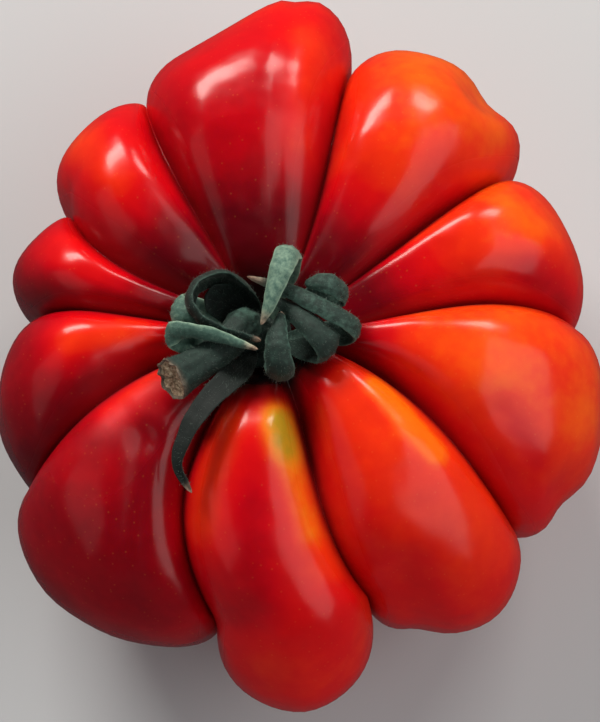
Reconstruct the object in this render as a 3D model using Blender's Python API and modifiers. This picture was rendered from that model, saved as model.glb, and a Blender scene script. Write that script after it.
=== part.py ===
"""A large ribbed tomato with its dried-back green calyx and a cut stalk.

Two solids in metres, +Z up, resting on z = 0:
  fruit            ten uneven lobes round a sunken stem end, one closed skin
  calyx_and_stalk  receptacle, bent stalk stub and curled sepals, grown as one
"""
import math
from collections import namedtuple

import bmesh
import bpy
from mathutils import Vector
from mathutils import noise

MM = 0.001

# ---------------------------------------------------------------- fruit sizes

# The ten lobes, counter-clockwise from +X, about the stem axis. Each starts at its own crease.
#   crease  direction of the crease at the rim, degrees
#   bend    how far that crease swings by the time it reaches the stem, degrees
#   bow     how far it bows out half-way, degrees
#   valley  radius of the crease at the belly, mm
#   reach   radius of the lobe at the belly, mm
#   slant   reach lost from the first side of the lobe to the last, mm
#   crest   radius at which the lobe is highest, mm
#   height  height of that crest, mm
#   slope   1 drops steeply to the stem, 2 is a straight slope
#   lean    shift of the lobe's ridge towards its last side
#   crown   2 is a round crown, more is flatter
#   flat    the same for the belly
Lobe = namedtuple("Lobe", "crease bend bow valley reach slant crest height slope lean crown flat")
LOBES = (
    Lobe(4.8, -3, 4.5, 48.5, 52.6, 0.5, 35, 55.5, 1.40, 0.25, 3.2, 2.5),
    Lobe(36.0, -8, 0, 47.0, 58.0, 2.5, 34, 58.0, 1.40, 0.20, 3.0, 2.3),
    Lobe(73.4, -13, 0, 47.0, 58.2, 12.5, 32, 59.0, 1.50, 0.12, 3.2, 2.6),
    Lobe(115.1, 1, 3.5, 46.0, 47.4, 2.5, 30, 57.0, 1.35, -0.25, 2.7, 2.2),
    Lobe(144.6, 4, 9, 37.5, 42.0, -1.5, 27, 54.0, 1.25, -0.20, 2.7, 2.2),
    Lobe(172.0, 0, 0, 34.5, 42.8, -3.0, 26, 55.0, 1.15, -0.30, 2.6, 2.1),
    Lobe(211.0, -19, -2.5, 42.0, 50.4, 1.5, 25, 56.5, 1.15, -0.10, 3.6, 2.1),
    Lobe(260.4, -21, -10.5, 42.5, 55.8, 0.0, 18, 58.5, 1.05, 0.02, 3.6, 1.65),
    Lobe(292.6, 8, -6, 41.5, 53.4, -3.5, 19, 58.5, 0.95, 0.15, 3.8, 1.85),
    Lobe(324.5, 26, 1, 46.5, 55.2, 0.5, 27, 57.0, 1.15, 0.25, 3.6, 2.5),
)

# Shallow folds pressed into the skin along straight lines:
# start and end as (degrees, mm) about the stem axis, then half width and depth in mm.
Fold = namedtuple("Fold", "start end width depth")
FOLDS = (
    Fold((84.5, 16), (84.5, 60), 1.7, 0.9),
    Fold((48.0, 54), (48.5, 64), 5.0, 2.4),
    Fold((-20, 37), (-27, 45), 3.0, 0.7),
    Fold((-27, 52), (-28, 60), 4.0, 2.0),
    Fold((-61, 42), (-61, 56), 3.0, 1.8),
    Fold((209, 24), (225, 24), 1.8, 0.8),
    Fold((225, 24), (243, 44), 2.6, 1.1),
)

PIT_RADIUS = 5.5          # sunken stem end, mm
PIT_LEVEL = 45.5
VALLEY_CREST = 24.0       # the highest stretch of every crease, mm
VALLEY_LEVEL = 50.2
BELLY_LEVEL = 29.0        # height of the widest line, mm
FOOT_SHARE = 0.42         # radius of the lobes' feet as a share of their reach
FOOT_SINK = 0.8           # how much of a foot the resting plane flattens, mm
VALLEY_FOOT = 4.5         # height of the creases between the feet, mm
SCAR_RADIUS = 3.5         # blossom end, mm
SCAR_LEVEL = 4.5
FULLNESS = 0.92           # 1 is an ellipse, less is squarer
CREST_ARCH = 0.90         # cross-section of a lobe at its crest, 1 is a straight-sided valley
BELLY_ARCH = 0.50         # and at its belly, where the creases are tight
CREASE_ROUND = 0.10       # how rounded the bottoms of the upper creases are
SLANT_END = 0.8           # share of a lobe by which its slant is complete
BEND_POWER = 1.6          # how late the creases swing
WAVE_HEIGHT = 0.5         # unevenness of the skin, mm
WAVE_RATE = 90            # waves per metre
LOBE_COLUMNS = 10         # columns of the surface on each lobe
SKIN_ROWS = (5, 12, 10, 6)  # rows: stem to crest, to belly, to foot, to blossom end

# ---------------------------------------------------------------- calyx sizes

# Sepals grow outwards from the receptacle, then curl up and back over themselves.
# One station is (x, y, z, width, heading, tilt): the middle line and the width in mm about
# the stem axis, and the direction of the width as a heading and a tilt in degrees.
SEPALS = {
    "north": (
        (0.8, 2.0, 47.6, 3.2, -26, 0), (2.8, 6.8, 52.2, 3.8, -26, 0),
        (4.2, 10.0, 57.2, 4.0, -26, 0), (4.0, 9.8, 61.4, 3.9, -25, 0),
        (2.9, 6.7, 63.5, 3.4, -24, 5), (1.8, 3.4, 63.5, 2.6, -26, 8),
        (0.9, 0.7, 62.9, 1.8, -27, 10), (0.0, -1.4, 62.1, 0.8, -28, 10),
    ),
    "north_east": (
        (1.8, 1.2, 47.6, 3.2, -55, 0), (6.2, 4.0, 52.0, 3.8, -58, 0),
        (10.2, 4.8, 55.2, 4.2, -66, 0), (12.0, 4.6, 58.3, 4.2, -72, 10),
        (10.6, 5.0, 60.6, 3.8, -78, 15), (8.2, 5.4, 60.8, 3.0, -82, 20),
        (6.2, 5.1, 60.0, 1.2, -82, 20),
    ),
    "east": (
        (2.2, -0.2, 47.6, 3.2, -94, 0), (7.4, -0.6, 53.2, 3.8, -94, 0),
        (12.2, -1.2, 55.6, 4.0, -94, 0), (13.8, -1.0, 58.8, 4.0, -84, 5),
        (12.0, 0.0, 61.0, 3.8, -70, 12), (9.0, 1.5, 61.7, 3.4, -64, 18),
        (5.4, 3.3, 61.4, 2.8, -62, 18), (1.8, 4.9, 60.9, 1.8, -66, 15),
        (-2.1, 6.0, 61.0, 0.8, -74, 10),
    ),
    "south_east": (
        (1.9, -1.2, 47.9, 3.2, -124, 0), (5.2, -2.8, 53.2, 3.8, -122, 0),
        (9.2, -4.6, 58.2, 4.6, -122, 0), (10.0, -4.4, 60.8, 4.7, -126, 5),
        (8.4, -2.6, 62.0, 4.1, -130, 12), (5.8, 0.0, 61.5, 3.3, -132, 16),
        (3.5, 1.9, 60.6, 2.3, -130, 18), (2.0, 2.9, 59.8, 0.9, -128, 18),
    ),
    "south": (
        (0.6, -2.2, 47.6, 3.2, 170, 0), (1.7, -5.8, 53.8, 3.6, 168, 0),
        (2.5, -8.2, 58.0, 4.0, 172, 0), (2.7, -7.8, 61.2, 4.1, 176, 0),
        (2.3, -5.4, 62.7, 3.8, 184, -5), (2.2, -2.9, 62.4, 3.2, 190, -10),
        (2.5, -0.8, 61.6, 2.2, 194, -14), (3.0, 0.8, 60.9, 0.9, 194, -14),
    ),
    "loop": (
        (-0.6, 2.0, 48.2, 3.2, 30, 20), (-2.0, 5.4, 53.4, 4.6, 70, 70),
        (-5.6, 7.3, 56.8, 4.8, 100, 84), (-9.2, 5.8, 58.6, 4.6, 145, 86),
        (-10.5, 2.8, 59.3, 4.4, 185, 86), (-8.9, 0.0, 59.8, 4.0, 230, 84),
        (-5.8, -1.7, 60.2, 3.2, 255, 80), (-2.6, -2.6, 60.5, 2.0, 258, 74),
        (0.0, -3.4, 60.8, 0.8, 258, 70),
    ),
    "under_loop": (
        (-0.8, 1.4, 47.9, 3.2, 48, 0), (-3.4, 3.2, 51.0, 5.4, 48, 0),
        (-6.2, 4.2, 53.8, 5.6, 56, 0), (-8.4, 4.2, 56.4, 4.0, 66, 0),
    ),
    "west": (
        (-2.1, 0.8, 47.9, 3.2, 78, 0), (-7.4, 2.0, 51.6, 4.0, 78, 0),
        (-11.4, 2.9, 54.2, 4.2, 78, 0), (-12.7, 2.4, 56.8, 4.2, 66, 10),
        (-11.2, 0.9, 58.4, 3.6, 52, 20), (-9.0, -0.4, 57.6, 2.6, 48, 20),
        (-7.0, -1.2, 56.6, 1.0, 48, 20),
    ),
    "strap": (
        (-2.1, -0.8, 47.9, 3.2, 108, 0), (-7.2, -2.2, 52.4, 3.8, 106, 0),
        (-11.7, -2.8, 56.8, 3.4, 98, 10), (-13.3, -2.4, 59.2, 3.2, 90, 30),
        (-11.6, -2.1, 60.8, 3.0, 84, 50), (-8.0, -2.6, 61.0, 2.8, 78, 60),
        (-4.0, -3.7, 61.0, 1.8, 76, 62), (-0.4, -4.7, 61.0, 0.8, 74, 60),
    ),
    "long": (
        (-1.0, -2.0, 47.6, 3.2, 150, 0), (-2.8, -6.0, 54.0, 3.8, 150, 0),
        (-5.2, -9.6, 59.2, 3.8, 142, -10), (-8.2, -13.4, 61.0, 3.4, 146, -20),
        (-10.7, -17.8, 61.0, 2.6, 160, -25), (-11.6, -21.4, 60.2, 1.5, 178, -20),
        (-9.7, -25.0, 58.6, 0.8, 210, -10),
    ),
}
SEPAL_THICKNESS = 1.1
SEPAL_CROWN = 0.16        # rise of a sepal's middle line as a share of its width
SEPAL_STEPS = 3           # facets along a sepal between two stations
SEPAL_COLUMNS = 4         # facets across a sepal

# The stalk: (x, y, z, radius) in mm, from inside the receptacle, over its knee to the cut.
STALK = (
    (-0.4, 0.2, 47.8, 2.6), (-1.3, 0.5, 50.0, 2.6), (-2.3, 0.6, 53.0, 2.5),
    (-3.2, -0.4, 55.3, 2.5), (-4.8, -2.6, 56.6, 2.4), (-7.4, -5.1, 57.8, 2.4),
    (-10.1, -7.1, 59.0, 2.6), (-12.2, -8.6, 59.9, 3.0), (-12.8, -9.0, 60.2, 3.1),
)
STALK_SIDES = 12
STALK_STEPS = 2
CUT_RIM = 0.78            # the hollow of the cut face as a share of its radius
CUT_DEPTH = 0.5           # depth of that hollow, mm

RECEPTACLE_RADIUS = 4.6
RECEPTACLE_LOW = 45.9
RECEPTACLE_HIGH = 49.0


# ------------------------------------------------------------------- helpers

def clear_scene():
    for item in list(bpy.data.objects):
        bpy.data.objects.remove(item)


def make_collection(name):
    collection = bpy.data.collections.new(name)
    bpy.context.scene.collection.children.link(collection)
    return collection


def make_material(name, colour, roughness):
    material = bpy.data.materials.new(name)
    material.use_nodes = True
    shader = material.node_tree.nodes["Principled BSDF"]
    shader.inputs["Base Color"].default_value = (*colour, 1.0)
    shader.inputs["Roughness"].default_value = roughness
    return material


def add_object(name, mesh, material, collection):
    mesh.materials.append(material)
    item = bpy.data.objects.new(name, mesh)
    collection.objects.link(item)
    return item


def mesh_from(form, name):
    """Turn a finished bmesh into a mesh whose faces point outwards."""
    bmesh.ops.recalc_face_normals(form, faces=form.faces)
    mesh = bpy.data.meshes.new(name)
    form.to_mesh(mesh)
    form.free()
    mesh.shade_smooth()
    return mesh


def polar(degrees, radius):
    angle = math.radians(degrees)
    return Vector((radius * math.cos(angle), radius * math.sin(angle)))


def clamp(value):
    return max(0.0, min(1.0, value))


def ease(value):
    value = clamp(value)
    return value * value * (3 - 2 * value)


# --------------------------------------------------------------------- fruit

def crown_keys(lobe, share):
    """Middle of a lobe as (radius, height): stem, crest, belly, foot, blossom end."""
    reach = lobe.reach + lobe.slant / 2 * math.cos(math.pi * min(share / SLANT_END, 1.0))
    return (
        (PIT_RADIUS, PIT_LEVEL),
        (lobe.crest, lobe.height),
        (reach, BELLY_LEVEL),
        (reach * FOOT_SHARE, -FOOT_SINK),
        (SCAR_RADIUS, SCAR_LEVEL),
    )


def valley_keys(lobe):
    """The crease at a lobe's first side, at the same five places."""
    return (
        (PIT_RADIUS, PIT_LEVEL),
        (VALLEY_CREST, VALLEY_LEVEL),
        (lobe.valley, BELLY_LEVEL),
        (lobe.valley * FOOT_SHARE, VALLEY_FOOT),
        (SCAR_RADIUS, SCAR_LEVEL),
    )


def along(keys, turn, slope):
    """Point on a profile of four rounded quarters; turn runs from 0 to 4."""
    quarter = min(int(turn), 3)
    angle = (turn - quarter) * math.pi / 2
    power = slope if quarter == 0 else FULLNESS
    quick = max(math.sin(angle), 0.0) ** power
    slow = 1 - max(math.cos(angle), 0.0) ** power
    if quarter % 2 == 0:
        radial, upright = slow, quick
    else:
        radial, upright = quick, slow
    first, last = keys[quarter], keys[quarter + 1]
    radius = first[0] + (last[0] - first[0]) * radial
    height = first[1] + (last[1] - first[1]) * upright
    return Vector((radius, height))


def swing(lobe, radius, turn):
    """Degrees by which a crease has left its rim direction, on the upper half only."""
    if turn >= 2:
        return 0.0
    inwards = clamp((lobe.valley - radius) / (lobe.valley - PIT_RADIUS))
    return lobe.bend * inwards ** BEND_POWER + lobe.bow * 4 * inwards * (1 - inwards)


def fold_depth(place, turn):
    """Depth of all folds at a place seen from above; they fade out below the belly."""
    depth = 0.0
    for fold in FOLDS:
        start = polar(*fold.start)
        run = polar(*fold.end) - start
        share = clamp((place - start).dot(run) / run.length_squared)
        distance = (place - start - run * share).length
        depth += fold.depth * math.exp(-((distance / fold.width) ** 2))
    return depth * clamp((2.9 - turn) / 0.9)


def skin_point(index, across, turn):
    """A point of the skin in mm: lobe, place across it from -1 to 1, place down it."""
    lobe = LOBES[index]
    after = LOBES[(index + 1) % len(LOBES)]
    full_turn = 360.0 if index == len(LOBES) - 1 else 0.0
    share = (across + 1) / 2
    valley = along(valley_keys(lobe), turn, 1.0).lerp(along(valley_keys(after), turn, 1.0), share)
    crown = along(crown_keys(lobe, share), turn, lobe.slope)
    down = ease(turn - 0.7)
    leaning = across - lobe.lean * (1 - 0.8 * down) * (1 - across * across)
    flat = lobe.crown + (lobe.flat - lobe.crown) * down
    power = CREST_ARCH + (BELLY_ARCH - CREST_ARCH) * down
    rounding = CREASE_ROUND * (1 - down) + 0.0001
    rise = math.hypot(max(0.0, 1 - abs(leaning) ** flat), rounding) - rounding
    arch = (rise / (math.hypot(1, rounding) - rounding)) ** power
    profile = valley.lerp(crown, arch)

    first = lobe.crease + swing(lobe, profile.x, turn)
    last = after.crease + full_turn + swing(after, profile.x, turn)
    direction = first + (last - first) * share
    place = polar(direction, profile.x)
    outwards = crown - valley
    if outwards.length > 0.001 and 0 < turn < 4:
        wave = noise.noise(Vector((*place, profile.y)) * MM * WAVE_RATE)
        push = WAVE_HEIGHT * wave - fold_depth(place, turn)
        profile += outwards.normalized() * push * arch
        place = polar(direction, profile.x)
    return Vector((*place, max(profile.y, 0.0)))


def make_fruit(material, collection):
    """A UV sphere whose every vertex is moved to its place on the lobed skin."""
    columns = LOBE_COLUMNS * len(LOBES)
    turns = []
    for quarter, rows in enumerate(SKIN_ROWS):
        turns.extend(quarter + step / rows for step in range(rows))
    turns.append(4.0)
    rings = len(turns) + 1

    form = bmesh.new()
    bmesh.ops.create_uvsphere(form, u_segments=columns, v_segments=rings, radius=1.0)
    for vertex in form.verts:
        ring = round(math.acos(max(-1.0, min(1.0, vertex.co.z))) / math.pi * rings)
        if ring == 0:
            vertex.co = Vector((0, 0, PIT_LEVEL))
        elif ring == rings:
            vertex.co = Vector((0, 0, SCAR_LEVEL))
        else:
            column = round(math.atan2(vertex.co.y, vertex.co.x) / math.tau * columns) % columns
            index, step = divmod(column, LOBE_COLUMNS)
            across = math.sin((step / LOBE_COLUMNS - 0.5) * math.pi)
            vertex.co = skin_point(index, across, turns[ring - 1])
    bmesh.ops.scale(form, vec=(MM, MM, MM), verts=form.verts)
    return add_object("fruit", mesh_from(form, "fruit"), material, collection)


# --------------------------------------------------------------------- calyx

def smooth_between(rows, place):
    """Values on a smooth curve through rows of numbers; place counts in rows."""
    index = min(int(place), len(rows) - 2)
    part = place - index
    before = rows[max(index - 1, 0)]
    start = rows[index]
    end = rows[index + 1]
    beyond = rows[min(index + 2, len(rows) - 1)]
    values = []
    for a, b, c, d in zip(before, start, end, beyond):
        bow = (2 * a - 5 * b + 4 * c - d) * part ** 2 + (3 * b - a - 3 * c + d) * part ** 3
        values.append(b + ((c - a) * part + bow) / 2)
    return values


def make_sepal(name, stations, collection):
    """A flat grid bent along the stations, bowed across, then given its thickness."""
    last = len(stations) - 1
    form = bmesh.new()
    bmesh.ops.create_grid(form, x_segments=last * SEPAL_STEPS, y_segments=SEPAL_COLUMNS, size=1.0)
    for vertex in form.verts:
        place = (vertex.co.x + 1) / 2 * last
        across = vertex.co.y
        x, y, z, width, heading, tilt = smooth_between(stations, place)
        ahead = Vector(smooth_between(stations, min(place + 0.05, last))[:3])
        behind = Vector(smooth_between(stations, max(place - 0.05, 0))[:3])
        forward = (ahead - behind).normalized()
        level = polar(heading, math.cos(math.radians(tilt)))
        side = Vector((level.x, level.y, math.sin(math.radians(tilt))))
        side = (side - forward * side.dot(forward)).normalized()
        facing = forward.cross(side)
        droop = SEPAL_CROWN * width * across * across
        vertex.co = Vector((x, y, z)) + side * across * width / 2 - facing * droop
    bmesh.ops.scale(form, vec=(MM, MM, MM), verts=form.verts)
    mesh = bpy.data.meshes.new("sepal_" + name)
    form.to_mesh(mesh)
    form.free()
    sepal = bpy.data.objects.new("sepal_" + name, mesh)
    collection.objects.link(sepal)
    thicken = sepal.modifiers.new("thickness", "SOLIDIFY")
    thicken.thickness = SEPAL_THICKNESS * MM
    thicken.offset = 0.0
    apply_modifiers(sepal)
    return sepal


def make_receptacle():
    form = bmesh.new()
    bmesh.ops.create_uvsphere(form, u_segments=20, v_segments=8, radius=1.0)
    height = RECEPTACLE_HIGH - RECEPTACLE_LOW
    middle = (RECEPTACLE_HIGH + RECEPTACLE_LOW) / 2
    for vertex in form.verts:
        vertex.co.x *= RECEPTACLE_RADIUS
        vertex.co.y *= RECEPTACLE_RADIUS
        vertex.co.z = middle + vertex.co.z * height / 2
    bmesh.ops.scale(form, vec=(MM, MM, MM), verts=form.verts)
    return mesh_from(form, "receptacle")


def make_stalk():
    """A UV sphere drawn out along the stalk; its last pole is sunk into the cut face."""
    last = len(STALK) - 1
    bends = [step / STALK_STEPS for step in range(last * STALK_STEPS + 1)]
    rings = len(bends) + 2
    form = bmesh.new()
    bmesh.ops.create_uvsphere(form, u_segments=STALK_SIDES, v_segments=rings, radius=1.0)
    for vertex in form.verts:
        ring = round(math.acos(max(-1.0, min(1.0, vertex.co.z))) / math.pi * rings)
        angle = math.atan2(vertex.co.y, vertex.co.x)
        place = bends[min(max(ring - 1, 0), len(bends) - 1)]
        x, y, z, radius = smooth_between(STALK, place)
        ahead = Vector(smooth_between(STALK, min(place + 0.05, last))[:3])
        behind = Vector(smooth_between(STALK, max(place - 0.05, 0))[:3])
        forward = (ahead - behind).normalized()
        side = forward.cross(Vector((0.5, -0.85, 0.15))).normalized()
        upwards = side.cross(forward)
        if ring in (0, rings):
            radius = 0.0
        elif ring == rings - 1:
            radius *= CUT_RIM
        sunk = CUT_DEPTH if ring >= rings - 1 else 0.0
        around = side * math.cos(angle) + upwards * math.sin(angle)
        vertex.co = Vector((x, y, z)) + around * radius - forward * sunk
    bmesh.ops.scale(form, vec=(MM, MM, MM), verts=form.verts)
    return mesh_from(form, "stalk")


def apply_modifiers(item):
    """Bake an object's modifiers into its mesh."""
    graph = bpy.context.evaluated_depsgraph_get()
    mesh = bpy.data.meshes.new_from_object(item.evaluated_get(graph))
    item.modifiers.clear()
    item.data = mesh


def make_calyx(material, collection):
    """Stalk, receptacle and sepals joined into one solid."""
    calyx = add_object("calyx_and_stalk", make_receptacle(), material, collection)
    grown = make_collection("grown_on_calyx")
    stalk = bpy.data.objects.new("stalk", make_stalk())
    grown.objects.link(stalk)
    for name, stations in SEPALS.items():
        make_sepal(name, stations, grown)

    join = calyx.modifiers.new("join", "BOOLEAN")
    join.operation = "UNION"
    join.operand_type = "COLLECTION"
    join.collection = grown
    join.solver = "MANIFOLD"
    apply_modifiers(calyx)
    for item in list(grown.objects):
        bpy.data.objects.remove(item)
    bpy.data.collections.remove(grown)
    calyx.data.shade_smooth()
    calyx.data.set_sharp_from_angle(angle=math.radians(50))
    return calyx


# ---------------------------------------------------------------------- part

def centre_on_floor(items):
    """Move all meshes so their common box is centred in X and Y and stands on z = 0."""
    points = [vertex.co for item in items for vertex in item.data.vertices]
    shift = Vector((
        -(min(p.x for p in points) + max(p.x for p in points)) / 2,
        -(min(p.y for p in points) + max(p.y for p in points)) / 2,
        -min(p.z for p in points),
    ))
    for item in items:
        for vertex in item.data.vertices:
            vertex.co += shift


clear_scene()
tomato = make_collection("ribbed_tomato")
skin_red = make_material("ripe_skin", (0.60, 0.02, 0.01), 0.25)
calyx_green = make_material("calyx_green", (0.03, 0.08, 0.05), 0.75)
fruit_object = make_fruit(skin_red, tomato)
calyx_object = make_calyx(calyx_green, tomato)
centre_on_floor([fruit_object, calyx_object])
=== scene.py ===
"""A large ribbed tomato with its curled green calyx and cut stalk, dressed for looks."""

import math
import random
from collections import namedtuple

import bmesh
import bpy
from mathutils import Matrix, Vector
from mathutils import noise


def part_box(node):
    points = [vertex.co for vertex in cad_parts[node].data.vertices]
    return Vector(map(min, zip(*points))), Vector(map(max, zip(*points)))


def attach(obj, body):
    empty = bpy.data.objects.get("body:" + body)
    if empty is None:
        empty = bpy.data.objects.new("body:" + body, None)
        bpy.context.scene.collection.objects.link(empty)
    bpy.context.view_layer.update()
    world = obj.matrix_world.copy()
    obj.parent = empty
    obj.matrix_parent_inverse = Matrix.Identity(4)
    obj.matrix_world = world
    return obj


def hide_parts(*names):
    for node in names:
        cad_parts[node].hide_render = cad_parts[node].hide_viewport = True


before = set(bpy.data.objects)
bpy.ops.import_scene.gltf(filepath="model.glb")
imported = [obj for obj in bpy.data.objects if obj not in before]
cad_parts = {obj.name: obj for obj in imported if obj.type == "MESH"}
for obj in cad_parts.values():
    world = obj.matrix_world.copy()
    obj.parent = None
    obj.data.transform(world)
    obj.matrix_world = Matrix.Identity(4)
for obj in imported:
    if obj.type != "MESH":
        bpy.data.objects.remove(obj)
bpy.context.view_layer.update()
bpy.ops.object.select_all(action="DESELECT")


# ---------------------------------------------------------------- ribbed fruit
# The berry: taut thin skin over wet flesh, swollen into ten uneven lobes that press against
# each other in deep creases. It grew in one piece, sunken where the stalk leaves it and
# flattened where it rests.
MM = 0.001

# One row per lobe, counter-clockwise from +X about the stem axis, starting at its crease:
# the crease's direction at the rim, its swing at the stem and its bow half-way, in degrees;
# valley, reach, slant, crest and height in mm; then the slope towards the stem, the lean of
# its crest, the flatness of its crown and of its belly, and its tone near the stem, on its
# crest and at its belly, from the darkest crimson (0) to ripe orange (1). These tones are
# partly the skin's own and partly painted shade: they are set low near the stem and on the
# lobes towards -X, where the skin lies in shade.
Lobe = namedtuple(
    "Lobe",
    "crease bend bow valley reach slant crest height slope lean crown flat inner top belly",
)
LOBES = (
    Lobe(4.8, -3, 4.5, 48.5, 52.6, 0.5, 35, 55.5, 1.40, 0.25, 3.2, 2.5, 0.00, 0.84, 0.78),
    Lobe(36.0, -8, 0, 47.0, 58.0, 2.5, 34, 58.0, 1.40, 0.20, 3.0, 2.3, 0.06, 0.78, 0.96),
    Lobe(73.4, -13, 0, 47.0, 58.2, 12.5, 32, 59.0, 1.50, 0.12, 3.2, 2.6, 0.06, 0.42, 0.72),
    Lobe(115.1, 1, 3.5, 46.0, 47.4, 2.5, 30, 57.0, 1.35, -0.25, 2.7, 2.2, 0.10, 0.36, 0.64),
    Lobe(144.6, 4, 9, 37.5, 42.0, -1.5, 27, 54.0, 1.25, -0.20, 2.7, 2.2, 0.14, 0.28, 0.28),
    Lobe(172.0, 0, 0, 34.5, 42.8, -3.0, 26, 55.0, 1.15, -0.30, 2.6, 2.1, 0.30, 0.30, 0.20),
    Lobe(211.0, -19, -2.5, 42.0, 50.4, 1.5, 25, 56.5, 1.15, -0.10, 3.6, 2.1, 0.50, 0.18, 0.20),
    Lobe(260.4, -21, -10.5, 42.5, 55.8, 0.0, 18, 58.5, 1.05, 0.02, 3.6, 1.65, 0.84, 0.56, 0.62),
    Lobe(292.6, 8, -6, 41.5, 53.4, -3.5, 19, 58.5, 0.95, 0.15, 3.8, 1.85, 0.74, 0.76, 0.66),
    Lobe(324.5, 26, 1, 46.5, 55.2, 0.5, 27, 57.0, 1.15, 0.25, 3.6, 2.5, 0.20, 0.88, 0.80),
)

# Lines on the skin as (degrees, mm) at both ends, then half width in mm and strength.
Line = namedtuple("Line", "start end width strength")
# Dents and folds, with their depth in mm.
FOLDS = (
    Line((84.5, 16), (84.5, 60), 1.7, 0.9),
    Line((48.0, 54), (48.5, 64), 5.0, 2.4),
    Line((-20, 37), (-27, 45), 3.0, 0.7),
    Line((-27, 52), (-28, 60), 4.0, 2.0),
    Line((-61, 42), (-61, 56), 3.0, 1.8),
    Line((209, 24), (225, 24), 1.8, 0.8),
    Line((225, 24), (243, 44), 2.6, 1.1),
)
# Patches where the skin is more orange, and negative ones where it is deeper red.
TONE_PATCHES = (
    Line((82, 46), (79, 28), 3.4, 0.26),
    Line((52, 36), (60, 50), 7.0, 0.06),
    Line((39, 44), (41, 48), 5.0, 0.16),
    Line((27, 41), (20, 43), 3.0, 0.14),
    Line((12, 41), (8, 46), 2.4, -0.26),
    Line((-18, 37), (-25, 45), 1.5, -0.16),
    Line((-29, 19), (-37, 31), 1.7, 0.42),
    Line((-77, 24), (-76, 36), 3.0, 0.20),
    Line((-94, 27), (-91, 40), 4.5, -0.28),
    Line((136, 32), (134, 42), 6.0, 0.32),
    Line((160, 26), (156, 34), 4.5, 0.26),
    Line((181, 17), (184, 28), 4.2, 0.50),
    Line((203, 14), (209, 25), 3.2, 0.46),
    Line((224, 30), (222, 34), 4.5, 0.14),
    Line((248, 15), (254, 30), 3.8, 0.30),
)
# A shoulder whose wax is rubbed dull, so that it hardly mirrors.
DULL_PATCHES = (
    Line((205, 17), (216, 30), 3.6, 1.0),
)
# The patch that ripened last and is still gold and olive green.
GREEN_PATCHES = (
    Line((-80, 14), (-79, 18), 3.1, 0.50),
    Line((-79, 15), (-77, 31), 2.9, 0.42),
)

# Radii and heights of a lobe's and a crease's profile, in mm. A foot's radius is a share of
# the belly's.
PIT_RADIUS = 5.5
PIT_LEVEL = 45.5
VALLEY_CREST = 24.0
VALLEY_LEVEL = 50.2
BELLY_LEVEL = 29.0
FOOT_SHARE = 0.42
FOOT_SINK = 0.8
VALLEY_FOOT = 4.5
SCAR_RADIUS = 3.5
SCAR_LEVEL = 4.5

# How full a profile's quarters are, how a lobe arches between its creases, how round their
# floors are, and how its reach slants and its creases bend.
FULLNESS = 0.92
CREST_ARCH = 0.90
BELLY_ARCH = 0.50
CREASE_ROUND = 0.10
LEAST_ROUND = 0.0001
SLANT_END = 0.8
BEND_POWER = 1.6

# A turn counts the quarters of a profile: 1 is the crest, 2 the belly and 3 the foot.
SHOULDER_TURN = 0.7
LEAN_LOSS = 0.8
FOOT_TURN = 2.9
FOOT_FADE = 0.9

# Low waves all over the skin, in mm and in waves per metre.
WAVE_HEIGHT = 0.5
WAVE_RATE = 90

# Tones: what the foot turns to, how far a lobe takes on its neighbour's near their crease,
# and the painted shade that darkens it near the stem and on the flanks that face -Y.
FOOT_TONE = 0.55
FOOT_TONE_SHARE = 0.7
BLEND_START = 0.375
BLEND_SHARE = 0.35
INNER_SHADE = 0.30
INNER_SHADE_START = 0.85
INNER_SHADE_WIDTH = 0.5
FLANK_SHADE = 0.30
FURROW_LOSS = 0.5
FURROW_FADE = 0.9

# Radius and soft edge in mm of the painted shade round the stem, under the calyx, and of
# the flower's scar.
CALYX_SHADE_RING = (12.5, 4.5)
SCAR_RING = (5.0, 2.0)
POLE_FURROW = 0.6
POLE_TONE = 0.2

LOBE_COLUMNS = 28
SKIN_ROWS = (26, 44, 34, 20)


def clamp(value):
    return max(0.0, min(1.0, value))


def ease(value):
    value = clamp(value)
    return value * value * (3 - 2 * value)


def polar(degrees, radius):
    angle = math.radians(degrees)
    return Vector((radius * math.cos(angle), radius * math.sin(angle)))


def crown_profile(lobe, share):
    """Middle of a lobe as (radius, height): stem, crest, belly, foot, blossom end."""
    reach = lobe.reach + lobe.slant / 2 * math.cos(math.pi * min(share / SLANT_END, 1.0))
    return (
        (PIT_RADIUS, PIT_LEVEL),
        (lobe.crest, lobe.height),
        (reach, BELLY_LEVEL),
        (reach * FOOT_SHARE, -FOOT_SINK),
        (SCAR_RADIUS, SCAR_LEVEL),
    )


def crease_profile(lobe):
    return (
        (PIT_RADIUS, PIT_LEVEL),
        (VALLEY_CREST, VALLEY_LEVEL),
        (lobe.valley, BELLY_LEVEL),
        (lobe.valley * FOOT_SHARE, VALLEY_FOOT),
        (SCAR_RADIUS, SCAR_LEVEL),
    )


def along_profile(keys, turn, slope):
    """Point on a profile of four rounded quarters; turn runs from 0 to 4."""
    quarter = min(int(turn), 3)
    angle = (turn - quarter) * math.pi / 2
    power = slope if quarter == 0 else FULLNESS
    quick = max(math.sin(angle), 0.0) ** power
    slow = 1 - max(math.cos(angle), 0.0) ** power
    if quarter % 2 == 0:
        radial, upright = slow, quick
    else:
        radial, upright = quick, slow
    first, last = keys[quarter], keys[quarter + 1]
    radius = first[0] + (last[0] - first[0]) * radial
    height = first[1] + (last[1] - first[1]) * upright
    return Vector((radius, height))


def crease_swing(lobe, radius, turn):
    if turn >= 2:
        return 0.0
    inwards = clamp((lobe.valley - radius) / (lobe.valley - PIT_RADIUS))
    return lobe.bend * inwards ** BEND_POWER + lobe.bow * 4 * inwards * (1 - inwards)


def nearness(place, lines):
    """Summed strength of the lines at a place seen from above."""
    total = 0.0
    for line in lines:
        start = polar(*line.start)
        run = polar(*line.end) - start
        share = clamp((place - start).dot(run) / run.length_squared)
        distance = (place - start - run * share).length
        total += line.strength * math.exp(-((distance / line.width) ** 2))
    return total


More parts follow.
